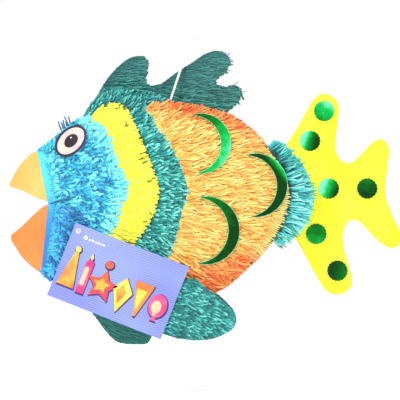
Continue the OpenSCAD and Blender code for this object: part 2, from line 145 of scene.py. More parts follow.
class Shader:
    """A material with one Principled node, and short names for wiring it."""

    def __init__(self, name, roughness=0.7, metallic=0.0, **constants):
        self.mat = bpy.data.materials.new(name)
        self.mat.use_nodes = True
        self.tree = self.mat.node_tree
        self.bsdf = self.tree.nodes["Principled BSDF"]
        for socket, value in dict(constants, Roughness=roughness, Metallic=metallic).items():
            self.bsdf.inputs[socket.replace("_", " ")].default_value = value

    def node(self, kind, **inputs):
        made = self.tree.nodes.new(kind)
        for key, value in inputs.items():
            self.wire(value, made.inputs[key.replace("_", " ")])
        return made

    def wire(self, value, socket):
        if isinstance(value, bpy.types.NodeSocket):
            self.tree.links.new(value, socket)
        else:
            socket.default_value = value

    def attribute(self, name):
        made = self.tree.nodes.new("ShaderNodeAttribute")
        made.attribute_name = name
        return made.outputs["Fac"]

    def object_coords(self, scale=(1, 1, 1)):
        made = self.node("ShaderNodeMapping",
                         Vector=self.tree.nodes.new("ShaderNodeTexCoord").outputs["Object"])
        made.inputs["Scale"].default_value = scale
        return made.outputs["Vector"]

    def noise(self, scale, detail=2.0, stretch=(1, 1, 1)):
        return self.node("ShaderNodeTexNoise", Vector=self.object_coords(stretch), Scale=scale,
                         Detail=detail).outputs["Fac"]

    def math(self, operation, a, b):
        made = self.tree.nodes.new("ShaderNodeMath")
        made.operation = operation
        self.wire(a, made.inputs[0])
        self.wire(b, made.inputs[1])
        return made.outputs["Value"]

    def blend(self, *weighted):
        """The sum of (socket, weight) pairs."""
        parts = [self.math("MULTIPLY", socket, weight) for socket, weight in weighted]
        total = parts[0]
        for part in parts[1:]:
            total = self.math("ADD", total, part)
        return total

    def ramp(self, fac, *stops):
        """A colour ramp. Each stop is its position and its colour as displayed."""
        made = self.node("ShaderNodeValToRGB", Fac=fac)
        elements = made.color_ramp.elements
        for _ in stops[2:]:
            elements.new(0.5)
        for element, (at, colour) in zip(elements, stops):
            element.position, element.color = at, srgb(*colour)
        return made.outputs["Color"]

    def mix(self, fac, a, b):
        made = self.tree.nodes.new("ShaderNodeMix")
        made.data_type = "RGBA"
        self.wire(fac, made.inputs["Factor"])
        self.wire(a, made.inputs[6])
        self.wire(b, made.inputs[7])
        return made.outputs[2]

    def colour(self, value):
        self.wire(value, self.bsdf.inputs["Base Color"])
        return self

    def bump(self, height, strength, distance):
        made = self.node("ShaderNodeBump", Height=height, Strength=strength, Distance=distance)
        self.wire(made.outputs["Normal"], self.bsdf.inputs["Normal"])
        return self


TONE_STOPS = (0.14, 0.46, 0.85)        # where a strip's dark, middle and light tone stand


def tissue(name, plain, shaded=None, roughness=0.6):
    """Crepe tissue: each strip has its own tone, darker at its glued end and lighter at its tip as a painted
    shade and highlight, with fine crepe ribs.
    plain and shaded are the dark, middle and light tone where the strips' shade is 0 and 1."""
    s = Shader(name, roughness, Sheen_Weight=0.1)
    # along darkens each strip's glued end and lightens its tip: painted shade and highlight.
    fac = s.blend((s.attribute("tone"), 0.5), (s.attribute("along"), 0.34), (s.noise(60.0), 0.2))
    both = [s.ramp(fac, *zip(TONE_STOPS, tones)) for tones in (plain, shaded or plain)]
    s.colour(s.mix(s.attribute("shade"), *both))
    ribs = s.noise(900.0, 3.0, (1.0, 1.0, 0.35))
    s.wire(s.math("ADD", s.math("MULTIPLY", ribs, 0.25), roughness - 0.12), s.bsdf.inputs["Roughness"])
    return s.bump(ribs, 0.3, 0.0003).mat


# ---- outlines taken from the frame --------------------------------------------------------------

def side_outline(node, side):
    """The closed loops, in X and Z, of a slab's outer face on the front or the back."""
    mesh = nodes[node].data
    places = np.empty(len(mesh.vertices) * 3, np.float32)
    mesh.vertices.foreach_get("co", places)
    places = places.reshape(-1, 3)
    level = (places[:, 1] * side).max()
    edges = {}
    for poly in mesh.polygons:
        ring = [places[v] for v in poly.vertices]
        if all(abs(p[1] * side - level) < 2e-5 for p in ring):
            keys = [(round(float(p[0]), 6), round(float(p[2]), 6)) for p in ring]
            for a, b in zip(keys, keys[1:] + keys[:1]):
                if (b, a) in edges:
                    del edges[b, a]
                else:
                    edges[a, b] = True
    follows = {}
    for a, b in edges:
        follows.setdefault(a, []).append(b)
    loops = []
    while follows:
        at = next(iter(follows))
        loop = []
        while at in follows:
            loop.append(at)
            ends = follows[at]
            step = ends.pop()
            if not ends:
                del follows[at]
            at = step
        if len(loop) > 2:
            loops.append(np.array(loop))
    return loops


def inside(points, loops):
    """True for each point, in X and Z, within the loops by the even-odd rule."""
    odd = np.zeros(len(points), bool)
    for loop in loops:
        a, b = loop, np.roll(loop, -1, 0)
        with np.errstate(divide="ignore", invalid="ignore"):
            across = (a[:, 1] > points[:, 1:]) != (b[:, 1] > points[:, 1:])
            at = a[:, 0] + (points[:, 1:] - a[:, 1]) * (b[:, 0] - a[:, 0]) / (b[:, 1] - a[:, 1])
        odd ^= (across & (points[:, :1] < at)).sum(1) % 2 == 1
    return odd


def edge_distance(points, loops):
    """Each point's distance to the nearest edge of the loops."""
    best = np.full(len(points), np.inf)
    for loop in loops:
        way = np.roll(loop, -1, 0) - loop
        rel = points[:, None, :] - loop
        t = np.clip((rel * way).sum(2) / np.maximum((way * way).sum(1), 1e-12), 0, 1)
        best = np.minimum(best, np.linalg.norm(rel - t[..., None] * way, axis=2).min(1))
    return best


def length_of(loop):
    """How far a loop reaches along the fish."""
    return np.ptp(loop[:, 0])


def signed_area(ring):
    """An outline's area times two, above 0 where it turns left."""
    return np.sum(ring[:, 0] * np.roll(ring[:, 1], -1) - np.roll(ring[:, 0], -1) * ring[:, 1])


# ---- strips of tissue ---------------------------------------------------------------------------

RINGS = 5                # cross-sections of a strip


def upright(points, y=0.0):
    """Points given in X and Z, at that Y."""
    return np.stack([points[:, 0], np.full(len(points), y), points[:, 1]], 1)


def unit(vectors):
    return vectors / np.linalg.norm(vectors, axis=-1, keepdims=True)


class Fringe:
    """Gathers strips, and base sheets under them, into one mesh."""

    def __init__(self, name):
        self.name, self.count = name, 0
        self.verts, self.quads, self.tris = [], [], []
        self.values = {"tone": [], "along": [], "shade": []}

    def strips(self, base, heading, out, length, width, rise, droop, curl, twist, tone, shade, top,
               ridge):
        """Closed ridged strips, one on each base. The rest is one for all or one for each strip.

        rise and droop are a strip's angles to the sheet at its glued end and its tip, curl is how far
        its heading turns, twist how far its section turns, and top the height it may reach."""
        n = len(base)
        if n == 0:
            return
        heading, out = (np.broadcast_to(v, (n, 3)) for v in (heading, out))
        length, width, rise, droop, curl, twist, top = (
            np.broadcast_to(v, n)[:, None] for v in (length, width, rise, droop, curl, twist, top))
        side = np.cross(out, heading)
        t = np.linspace(0, 1, RINGS)
        mid = (t[1:] + t[:-1]) / 2
        pitch = rise + (droop - rise) * mid
        yaw = curl * mid
        step = length / (RINGS - 1)
        moves = (step * np.cos(pitch) * np.cos(yaw), step * np.cos(pitch) * np.sin(yaw),
                 step * np.sin(pitch))
        forward, across, height = (np.hstack([np.zeros((n, 1)), np.cumsum(move, 1)]) for move in moves)
        height = top * np.tanh(height / top).clip(-0.05)
        line = (base[:, None] + forward[..., None] * heading[:, None] + across[..., None] * side[:, None]
                + height[..., None] * out[:, None])
        tangent = unit(np.gradient(line, axis=1))
        sideways = np.cross(np.broadcast_to(out[:, None], line.shape), tangent)
        sideways /= np.maximum(np.linalg.norm(sideways, axis=2, keepdims=True), 1e-9)
        up = np.cross(tangent, sideways)
        turn = twist * (t - 0.2)
        c, s = np.cos(turn)[..., None], np.sin(turn)[..., None]
        sideways, up = sideways * c + up * s, up * c - sideways * s
        half = (width * (1 - 0.25 * t * t) / 2)[..., None]
        corners = [line - sideways * half, line + sideways * half, line + up * (half * ridge)]
        start = self.count + np.arange(n)[:, None, None] * RINGS * 3
        k, j = (a.ravel() for a in np.meshgrid(np.arange(RINGS - 1), np.arange(3), indexing="ij"))
        quad = np.stack([k * 3 + j, (k + 1) * 3 + j, (k + 1) * 3 + (j + 1) % 3, k * 3 + (j + 1) % 3], 1)
        last = (RINGS - 1) * 3
        caps = np.array([[0, 1, 2], [last + 2, last + 1, last]])
        self.quads.append((start + quad).reshape(-1, 4))
        self.tris.append((start + caps).reshape(-1, 3))
        self.add(np.stack(corners, 2).reshape(-1, 3), np.repeat(np.broadcast_to(tone, n), RINGS * 3),
                 np.repeat(np.broadcast_to(shade, n), RINGS * 3), np.tile(np.repeat(t, 3), n))

    def sheet(self, loops, low, high, tone):
        """A thin closed sheet of the loops' outline, from y=low to y=high. It shows in the gaps between strips,
        and a low tone makes it a painted shade there.
        """
        bm = bmesh.new()
        for loop in loops:
            ring = [bm.verts.new((x, low, z)) for x, z in loop]
            for a, b in zip(ring, ring[1:] + ring[:1]):
                bm.edges.new((a, b))
        bmesh.ops.triangle_fill(bm, use_beauty=True, edges=bm.edges[:])
        thicken(bm, bm.faces[:], high - low)
        face_outward(bm)
        bm.verts.index_update()
        for face in bm.faces:
            ids = [v.index + self.count for v in face.verts]
            (self.quads if len(ids) == 4 else self.tris).append(np.array([ids]))
        self.add(np.array([v.co for v in bm.verts]), tone)
        bm.free()

    def band(self, ends, half, tone=0.2):
        """A thin closed band across the rim, dark as a painted shade in the gaps between the rim's strips. ends
        are its inner and outer point, in X and Z.
        """
        ring = [[(p[0], y, p[1]) for p, y in ((a, -half), (a, half), (b, half), (b, -half))]
                for a, b in ends]
        n = len(ring)
        walls = [[i * 4 + j, i * 4 + (j + 1) % 4, i * 4 + 4 + (j + 1) % 4, i * 4 + 4 + j]
                 for i in range(n - 1) for j in range(4)]
        caps = [[3, 2, 1, 0], [(n - 1) * 4 + j for j in range(4)]]
        self.quads.append(np.array(walls + caps) + self.count)
        self.add(np.array(ring).reshape(-1, 3), tone)

    def add(self, verts, tone, shade=0.0, along=0.0):
        self.verts.append(verts)
        self.count += len(verts)
        for key, value in (("tone", tone), ("along", along), ("shade", shade)):
            self.values[key].append(np.broadcast_to(value, len(verts)))

    def piece(self, material, body, slot, *replaced):
        quads, tris = np.concatenate(self.quads), np.concatenate(self.tris)
        mesh = bpy.data.meshes.new(self.name)
        mesh.vertices.add(self.count)
        mesh.vertices.foreach_set("co", np.concatenate(self.verts).astype(np.float32).ravel())
        corners = np.concatenate([quads.ravel(), tris.ravel()]).astype(np.int32)
        mesh.loops.add(len(corners))
        mesh.loops.foreach_set("vertex_index", corners)
        starts = np.concatenate([np.arange(len(quads)) * 4, len(quads) * 4 + np.arange(len(tris)) * 3])
        mesh.polygons.add(len(starts))
        mesh.polygons.foreach_set("loop_start", starts.astype(np.int32))
        mesh.update(calc_edges=True)
        mesh.validate()
        for key, values in self.values.items():
            store(mesh, key, np.concatenate(values))
        return add_piece(self.name, mesh, [material], body, slot, *replaced)


def thicken(bm, faces, depth):
    """Turns a flat sheet of faces into a slab."""
    made = bmesh.ops.extrude_face_region(bm, geom=faces)["geom"]
    bmesh.ops.translate(bm, verts=[g for g in made if isinstance(g, bmesh.types.BMVert)],
                        vec=(0, depth, 0))


def store(mesh, key, values):
    """Keeps a number for each vertex, for the material to read."""
    made = mesh.attributes.new(key, "FLOAT", "POINT")
    made.data.foreach_set("value", np.asarray(values, np.float32))


def add_piece(name, mesh, materials, body, slot, *replaced):
    for material in materials:
        mesh.materials.append(material)
    ob = show(name, mesh)
    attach(ob, body)
    if replaced:
        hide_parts(*replaced)
    return ob


def between(low, high, n):
    return rng.uniform(low, high, n)


def ripple(points, size, seed):
    """Smooth values from 0 to 1 over the points, with features of about that size."""
    own = np.random.default_rng(seed)
    total = np.zeros(len(points))
    for _ in range(7):
        way = own.normal(size=points.shape[1])
        way /= np.linalg.norm(way)
        total += np.sin(points @ way * (2 * math.pi / size) * own.uniform(0.6, 1.5)
                        + own.uniform(0, 2 * math.pi))
    return np.clip(0.5 + total * 0.16, 0, 1)


def fan_rows(loops, centre, spacing, pitch):
    """Points in uneven arcs about the centre, in X and Z, within the loops."""
    radii = np.linalg.norm(np.concatenate(loops) - centre, axis=1)
    found = []
    for r in np.arange(max(radii.min() - spacing, spacing), radii.max(), spacing):
        a = np.arange(-math.pi, math.pi, pitch / r)
        a = a + between(-0.35, 0.35, len(a)) * pitch / r
        rr = r + between(-0.15, 0.15, len(a)) * spacing + np.sin(a * 23 + r * 900) * spacing * 0.2
        found.append(centre + np.stack([rr * np.cos(a), rr * np.sin(a)], 1))
    points = np.concatenate(found)
    return points[inside(points, loops)]


def lay(fringe, base, heading, out, look, tone, shade, length=None):
    """Puts one strip on each base, with the look's own ranges."""
    n = len(base)
    fringe.strips(base, heading, out, between(*look["length"], n) if length is None else length,
                  look["width"] * between(0.75, 1.25, n), between(*look["rise"], n),
                  between(*look["droop"], n), rng.normal(0, look["curl"], n),
                  rng.normal(0, look["twist"], n), tone, shade, between(*look["top"], n), look["ridge"])


def within(loops, more=0.0):
    """A test for points inside the loops, or up to that far outside; less than 0 keeps off the edge."""
    if more < 0:
        return lambda p: inside(p, loops) & (edge_distance(p, loops) > -more)
    return lambda p: inside(p, loops) | (edge_distance(p, loops) < more)


def even(value):
    """The same value at every point."""
    return lambda p: np.full(len(p), value)


def field(fringe, loops, side, level, look, allowed, centre, shade_of=even(0.0), tone_of=even(0.0)):
    """Rows of strips over an outline on one side. allowed says which tips, in X and Z, may stay."""
    base = fan_rows(loops, centre, look["row"], look["width"] * look["pitch"])
    n = len(base)
    own = within(loops, look["over"])
    away = base - centre
    angle = np.arctan2(away[:, 1], away[:, 0]) * look["fan"] + look["lean"]
    angle += rng.normal(0, look["scatter"], n) + (ripple(base, 25 * MM, 5) - 0.5) * look["sway"]
    way = np.stack([np.cos(angle), np.sin(angle)], 1)
    length = between(*look["length"], n)

    def tips():
        return base + way * (length * 0.9)[:, None]

    for _ in range(2):
        length[~own(tips())] *= 0.8
    for _ in range(4):
        back = base - way * (length * 0.3)[:, None]
        over = ~own(tips()) & inside(back, loops)
        base[over] = back[over]
    for _ in range(3):
        length[~allowed(tips())] *= 0.55
    keep = allowed(tips())
    if "share" in look:
        keep &= (rng.random(n) < look["share"]) & (length > 0.7 * look["length"][0])
    base, way, length = base[keep], way[keep], length[keep]
    n = len(base)
    tone = ripple(base, look["patch"], 11) * (1 - look["own_tone"]) + rng.beta(2, 2, n) * look["own_tone"]
    tone = 0.5 + (tone - 0.5) * look["contrast"]
    # A share of the strips takes the darkest tone: a painted shade, like that in the gaps between strips.
    tone[rng.random(n) < look["nicks"]] = 0.0
    tone = np.clip(tone + tone_of(base), 0, 1)
    lay(fringe, upright(base, level * side), upright(way), (0.0, side, 0.0), look, tone, shade_of(base),
        length)


# ---- the body's outline -------------------------------------------------------------------------

def running(points):
    """How far along a line each of its points is."""
    return np.concatenate([[0], np.cumsum(np.linalg.norm(np.diff(points, axis=0), axis=1))])


def resampled(points, run, s):
    """The points of a line that are that far along it."""
    return np.stack([np.interp(s, run, axis) for axis in points.T], 1)


def body_line(step):
    """The board's outline as evenly spaced points in X and Z, with outward normals, and tangents that
    lead to the tail."""
    loop = max(panel_loops[FRONT], key=length_of)
    if signed_area(loop) > 0:
        loop = loop[::-1]
    closed = np.vstack([loop, loop[:1]])
    run = running(closed)
    at = resampled(closed, run, np.arange(0, run[-1], step))
    tangent = unit(np.roll(at, -1, 0) - np.roll(at, 1, 0))
    normal = np.stack([-tangent[:, 1], tangent[:, 0]], 1)
    return at, normal, tangent * np.where(tangent[:, :1] < 0, -1, 1)


def normed(vector):
    return vector / np.linalg.norm(vector)


def rim_strips(name, node, material, slot, look, shade_of, gap, outward=0.0):
    """Rows of strips across the rim, over one node of it. gap is a box kept clear: its two ends in X
    and half its width. outward is how far the strips turn from the rim's line to stand out from it."""
    at, normal, tangent = body_line(1.0 * MM)
    ids = np.flatnonzero(inside(at + normal * 2.5 * MM, side_outline(node, FRONT)))
    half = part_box(node)[1][1]
    fringe = Fringe(name)
    for run in np.split(ids, np.flatnonzero(np.diff(ids) > 1) + 1):
        if len(run) >= 4:
            ends = [(at[i] + normal[i] * 0.1 * MM, at[i] + normal[i] * 0.7 * MM) for i in run[::3]]
            fringe.band(ends, half - 0.6 * MM)
    start, end, wide = gap
    for i in ids[::int(round(look["row"] / MM))]:
        y = np.arange(-half + 1.2 * MM, half - 1.2 * MM, look["width"] * look["pitch"])
        n = len(y)
        y = y + between(-0.8, 0.8, n) * MM
        jitter = between(-2.2, 2.2, n)[:, None] * MM
        spot = at[i] + tangent[i] * jitter + normal[i] * 0.5 * MM
        base = upright(spot, y)
        clear = (spot[:, 0] > at_x(-171)) & ~((abs(y) < wide) & (spot[:, 0] > start) & (spot[:, 0] < end))
        up = normed(normal[i] * (1 - outward) + tangent[i] * -outward)
        way = normed(tangent[i] * (1 - outward) + normal[i] * outward)
        sway = rng.normal(0, look["scatter"], n)
        heading = np.stack([way[0] * np.cos(sway), np.sin(sway), way[1] * np.cos(sway)], 1)
        tone = np.clip(ripple(base, look["patch"], 3) * 0.5 + rng.beta(2, 2, n) * 0.5, 0, 1)
        lay(fringe, base[clear], heading[clear], (up[0], 0, up[1]), look, tone[clear],
            shade_of(spot)[clear])
    fringe.piece(material, "shell", slot, node)


# ---- sheets with relief -------------------------------------------------------------------------

def cut_finely(bm, grain, rounds):
    """Halves the edges that are longer than the grain, in up to that many rounds."""
    for _ in range(rounds):
        long = [e for e in bm.edges if e.calc_length() > grain]
        if not long:
            break
        bmesh.ops.subdivide_edges(bm, edges=long, cuts=1)
        bmesh.ops.triangulate(bm, faces=[f for f in bm.faces if len(f.verts) > 3])


def mesh_of(bm, name):
    mesh = bpy.data.meshes.new(name)
    bm.to_mesh(mesh)
    bm.free()
    return mesh


def gather(bm, part):
    """Moves the part into the mesh."""
    held = mesh_of(part, "part")
    bm.from_mesh(held)
    bpy.data.meshes.remove(held)


def smooth_by_angle(mesh, degrees):
    mesh.polygons.foreach_set("use_smooth", [True] * len(mesh.polygons))
    mesh.set_sharp_from_angle(angle=math.radians(degrees))


def crinkled(name, node, material, slot, size, depth, lift=0.0):
    """A sheet of paper, cut finely and creased. lift moves its two sides apart."""
    bm = bmesh.new()
    bm.from_mesh(nodes[node].data)
    bmesh.ops.remove_doubles(bm, verts=bm.verts[:], dist=1e-6)
    cut_finely(bm, 5 * MM, 9)
    at = np.array([v.co for v in bm.verts])
    shift = (ripple(at, size, 1) - 0.5) * depth + (ripple(at, size * 0.4, 2) - 0.5) * depth
    middle = (at[:, 1].max() + at[:, 1].min()) / 2
    for v, d in zip(bm.verts, shift):
        v.co.y += d + lift * math.copysign(1, v.co.y if abs(middle) < 1e-3 else middle)
    mesh = mesh_of(bm, name)
    smooth_by_angle(mesh, 40)
    add_piece(name, mesh, [material], "shell", slot, node)


def slab_of(bm, ring, low, high):
    """Adds a closed slab of an outline in X and Z to the mesh."""
    bottom = [bm.verts.new((x, low, z)) for x, z in ring]
    edges = [bm.edges.new(pair) for pair in zip(bottom, bottom[1:] + bottom[:1])]
    made = bmesh.ops.triangle_fill(bm, use_beauty=True, edges=edges)
    thicken(bm, [g for g in made["geom"] if isinstance(g, bmesh.types.BMFace)], high - low)


def face_outward(bm):
    bmesh.ops.recalc_face_normals(bm, faces=bm.faces[:])


def grown(ring, more):
    """An outline moved outward by a distance."""
    way = unit(np.roll(ring, -1, 0) - np.roll(ring, 1, 0))
    normal = np.stack([way[:, 1], -way[:, 0]], 1)
    return ring + normal * more * (1 if signed_area(ring) > 0 else -1)


def foils(name, node, side, tones, rim=0.0):
    """Foil cut-outs: each loop of the node becomes a thin slab that is dished a little and toned with a painted
    reflection.
    With a rim, its pale paper shows all round."""
    bm = bmesh.new()
    lo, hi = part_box(node)
    inner, outer = (hi[1], lo[1]) if side < 0 else (lo[1], hi[1])
    values = []
    loops = sorted(side_outline(node, side), key=lambda ring: tuple(ring.mean(0)))
    for count, (loop, tone) in enumerate(zip(loops, tones)):
        part = bmesh.new()
        slab_of(part, loop, inner, inner + (outer - inner) * 0.45)
        cut_finely(part, 2.5 * MM, 6)
        face_outward(part)
        middle, reach = loop.mean(0), np.ptp(loop, axis=0).max() / 2
        for v in part.verts:
            rel = (np.array([v.co.x, v.co.z]) - middle) / reach
            v.co.y += side * MM * (0.3 + 0.3 * math.sin(5 * rel[0] + 4 * rel[1] + count)) * (rel @ rel)
            values.append(tone(rel))
        if rim:
            before = len(part.verts)
            slab_of(part, grown(loop, rim), inner, inner + (outer - inner) * 0.3)
            face_outward(part)
            values += [PALE_EDGE] * (len(part.verts) - before)
        gather(bm, part)
    mesh = mesh_of(bm, name)
    store(mesh, "tone", values)
    smooth_by_angle(mesh, 35)
    add_piece(name, mesh, [FOIL], "shell", "foil", node)


def oval(at, long, short, tilt):
    a = np.linspace(0, 2 * math.pi, 48, endpoint=False)
    x, z = long * np.cos(a), short * np.sin(a)
    c, s = math.cos(tilt), math.sin(tilt)
    return np.stack([at[0] + x * c - z * s, at[1] + x * s + z * c], 1)


def layered(name, layers, side, level, body, slot, *replaced):
    """Flat shapes stacked outward: each layer is its outline, its two heights in millimetres over the
    level, and its material."""
    used = list(dict.fromkeys(material for *_, material in layers))
    bm = bmesh.new()
    for outline, low, high, material in layers:
        part = bmesh.new()
        slab_of(part, outline, level + side * (low * MM), level + side * (high * MM))
        face_outward(part)
        for f in part.faces:
            f.material_index = used.index(material)
        gather(bm, part)
    add_piece(name, mesh_of(bm, name), used, body, slot, *replaced)


# ---- cord ---------------------------------------------------------------------------------------

CORD_D = 3 * MM
STRANDS, TURNS_PER_M = 3, 70
CORD_ROUTE = [(-16.5, -17, 101), (-14, -16, 109), (-6.5, -12.5, 132), (1, -9, 155), (8, -5.5, 176),
              (13, -3.5, 191), (14.5, -2.5, 194), (17, -1.3, 195.5), (19.5, 0, 196), (22.5, 1.5, 195.5),
              (25, 2.7, 193.5), (26.5, 3.5, 190), (29, 6.5, 170), (31.5, 9.5, 150), (35, 13, 125),
              (37.5, 16.5, 104), (39.5, 18.5, 88)]


def tube(name, path, radius, sides):
    """A closed tube along a path. Its section has lobes that wind round it as laid strands do."""
    tangent = unit(np.gradient(path, axis=0))
    u = normed(np.cross(tangent[0], [0, 1, 0]))
    a = np.linspace(0, 2 * math.pi, sides, endpoint=False)
    verts = []
    for p, t, s in zip(path, tangent, running(path)):
        u = normed(u - t * (u @ t))
        w = np.cross(t, u)
        r = radius * (1 - 0.1 * (1 - abs(np.cos(STRANDS * (a - s * TURNS_PER_M * 2 * math.pi) / 2))))
        verts.append(p + (r * np.cos(a))[:, None] * u + (r * np.sin(a))[:, None] * w)
    n = len(path)
    faces = [(i * sides + j, i * sides + (j + 1) % sides, (i + 1) * sides + (j + 1) % sides,
              (i + 1) * sides + j) for i in range(n - 1) for j in range(sides)]
    faces += [tuple(range(sides))[::-1], tuple((n - 1) * sides + j for j in range(sides))]
    rough = bpy.data.meshes.new("rough")
    rough.from_pydata(np.concatenate(verts).tolist(), [], faces)
    bm = bmesh.new()
    bm.from_mesh(rough)
    bpy.data.meshes.remove(rough)
    face_outward(bm)
    mesh = mesh_of(bm, name)
    smooth_by_angle(mesh, 50)
    return mesh


def spline(points, step):
    """Evenly spaced points on a smooth line through the given ones, and its length."""
    p = np.asarray(points, float)
    p = np.vstack([2 * p[0] - p[1], p, 2 * p[-1] - p[-2]])
    fine = []
    for a, b, c, d in zip(p, p[1:], p[2:], p[3:]):
        t = np.linspace(0, 1, 24, endpoint=False)[:, None]
        fine.append(0.5 * (2 * b + (c - a) * t + (2 * a - 5 * b + 4 * c - d) * t ** 2
                           + (3 * b - a - 3 * c + d) * t ** 3))
    fine = np.vstack(fine + [p[-2:-1]])
    run = running(fine)
    return resampled(fine, run, np.linspace(0, run[-1], int(run[-1] / step) + 2)), run[-1]


def hanging_loop():
    path, length = spline([place(*p) for p in CORD_ROUTE], 0.8 * MM)
    cord = add_piece("cord", tube("cord", path, CORD_D / 2, 12), [COTTON], "shell", "cord",
                     "hanging_loop")
    knots = bmesh.new()
    for end, inward in ((path[0], path[0] - path[3]), (path[-1], path[-1] - path[-4])):
        inward = normed(inward)
        u = normed(np.cross(inward, [0, 1, 0]))
        w = np.cross(inward, u)
        a = np.linspace(0, 2 * math.pi, 90)
        r = 1.7 + 0.9 * np.cos(1.5 * a * 2)
        knot = (end + np.outer(r * np.cos(a * 2), u) * MM + np.outer(r * np.sin(a * 2), w) * MM
                + np.outer(1.2 * np.sin(3 * a), inward) * MM)
        knots.from_mesh(tube("knot", knot, 1.25 * MM, 8))
    both = mesh_of(knots, "cord_knots")
    smooth_by_angle(both, 50)
    piece = add_piece("cord_knots", both, [COTTON], "shell", "cord", "loop_knots")
    place(*CORD_ROUTE[0])
    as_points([p.tolist() for p in path[::2]] + [path[-1].tolist()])


# ---- materials of the pieces --------------------------------------------------------------------

TAG_SLOPE = math.radians(-21.5)
PALE_EDGE = 0.97           # the foil's tone that stands for its paper


def kraft(name, light, dark, ribs):
    """Brown board with fibres and flutes."""
    s = Shader(name, 0.85)
    fibres = s.noise(380.0, 4.0, (1, 1, 0.25))
    s.colour(s.ramp(fibres, (0.3, dark), (0.7, light)))
    flutes = s.node("ShaderNodeTexWave", Vector=s.object_coords(), Scale=ribs).outputs["Fac"]
    return s.bump(s.math("ADD", s.math("MULTIPLY", flutes, 0.5), fibres), 0.3, 0.0005).mat


def card(name, light, dark, patch, roughness=0.7):
    """Plain coloured card: a slow change of tone and fine fibres."""
    s = Shader(name, roughness)
    slow = s.noise(patch, 1.0)
    fine = s.noise(700.0, 3.0)
    s.colour(s.ramp(s.blend((slow, 0.8), (fine, 0.2)), (0.3, dark), (0.7, light)))
    return s.bump(fine, 0.15, 0.0003).mat


def foil_material():
    s = Shader("foil", 0.22, 0.75)
    wrinkles = s.noise(120.0)
    # The tone, with the wrinkles' noise added, is a painted reflection running from dark green to mint.
    fac = s.math("ADD", s.attribute("tone"), s.math("MULTIPLY", s.math("SUBTRACT", wrinkles, 0.5), 0.35))
    s.colour(s.ramp(fac, (0.05, (0.0, 0.25, 0.03)), (0.4, (0.0, 0.5, 0.1)), (0.7, (0.03, 0.8, 0.35)),
                    (PALE_EDGE, (0.5, 1.0, 0.8))))
    return s.bump(wrinkles, 0.25, 0.0006).mat


def nose_material():
    """Plain tissue, cyan above the mouth and deeper blue below it."""
    s = Shader("tissue_nose", 0.65)
    height = s.node("ShaderNodeSeparateXYZ", Vector=s.object_coords()).outputs["Z"]
    up = s.node("ShaderNodeMapRange", Value=height, From_Min=at_z(-70), From_Max=at_z(40))
    fac = s.math("ADD", up.outputs["Result"],
                 s.math("MULTIPLY", s.math("SUBTRACT", s.noise(70.0), 0.5), 0.3))
    s.colour(s.ramp(fac, (0.1, (0.16, 0.48, 0.78)), (0.45, (0.2, 0.62, 0.87)),
                    (0.68, (0.31, 0.81, 0.92))))
    return s.bump(s.noise(300.0, 3.0), 0.2, 0.0004).mat


def print_colour(name, a, b, scale=40.0):
    s = Shader(name, 0.45)
    return s.colour(s.ramp(s.noise(scale), (0.38, a), (0.62, b))).mat


def tag_material():
    """Coated card in periwinkle with fine wavy lines."""
    s = Shader("tag_print", 0.4)
    turned = s.object_coords()
    turned.node.inputs["Rotation"].default_value = (0, TAG_SLOPE, 0)
    wave = s.node("ShaderNodeTexWave", Vector=turned, Scale=120.0, Distortion=7.0, Detail=2.0,
                  Detail_Scale=0.45)
    wave.wave_type, wave.bands_direction = "BANDS", "Z"
    ground = s.ramp(s.noise(14.0, 1.0), (0.35, (0.4, 0.45, 0.82)), (0.65, (0.48, 0.55, 0.86)))
    lines = s.math("MULTIPLY", wave.outputs["Fac"], 0.36)
    return s.colour(s.mix(lines, ground, srgb(0.75, 0.78, 1.0))).mat


TISSUE_TONES = {        # dark, middle and light, plain and then shaded
    "blue": (((0.02, 0.5, 0.72), (0.2, 0.77, 0.91), (0.55, 0.99, 1.0)),
             ((0.0, 0.36, 0.54), (0.12, 0.54, 0.82), (0.34, 0.75, 0.96))),
    "yellow": (((0.95, 0.9, 0.12), (0.99, 0.97, 0.18), (1.0, 1.0, 0.4)),
               ((0.25, 0.36, 0.12), (0.5, 0.5, 0.1), (0.7, 0.7, 0.2))),
    "teal": (((0.0, 0.38, 0.4), (0.07, 0.65, 0.62), (0.55, 0.98, 0.92)),
             ((0.0, 0.32, 0.34), (0.06, 0.5, 0.5), (0.3, 0.76, 0.72))),
    "orange": (((0.93, 0.55, 0.18), (0.98, 0.76, 0.34), (1.0, 0.92, 0.56)),
               ((0.86, 0.27, 0.06), (0.96, 0.44, 0.17), (1.0, 0.66, 0.34))),
    "ruff": (((0.0, 0.44, 0.48), (0.26, 0.8, 0.8), (0.66, 1.0, 0.98)),
             ((0.1, 0.48, 0.42), (0.3, 0.74, 0.6), (0.6, 0.94, 0.74))),
    "fin": (((0.04, 0.33, 0.33), (0.1, 0.43, 0.42), (0.27, 0.6, 0.57)),
            ((0.0, 0.36, 0.36), (0.05, 0.52, 0.48), (0.4, 0.85, 0.75))),
    "pelvic": (((0.1, 0.42, 0.39), (0.13, 0.48, 0.44), (0.2, 0.56, 0.5)),),
}
PRINT_TONES = {
    "ink": ((0.22, 0.12, 0.35), (0.3, 0.16, 0.4)), "amber": ((0.86, 0.42, 0.18), (0.9, 0.68, 0.24)),
    "pink": ((0.85, 0.2, 0.48), (0.9, 0.42, 0.6)), "red": ((0.9, 0.38, 0.18), (0.87, 0.24, 0.32)),
    "yellow": ((0.93, 0.78, 0.25), (0.95, 0.9, 0.4)), "orange": ((0.88, 0.46, 0.2), (0.9, 0.6, 0.28)),
    "peach": ((0.98, 0.7, 0.6), (0.98, 0.8, 0.6)), "white": ((0.95, 0.95, 1.0), (0.9, 0.92, 1.0)),
}
TISSUE = {name: tissue(f"tissue_{name}", *tones) for name, tones in TISSUE_TONES.items()}
PRINT = {name: print_colour(f"tag_{name}", *tones) for name, tones in PRINT_TONES.items()}
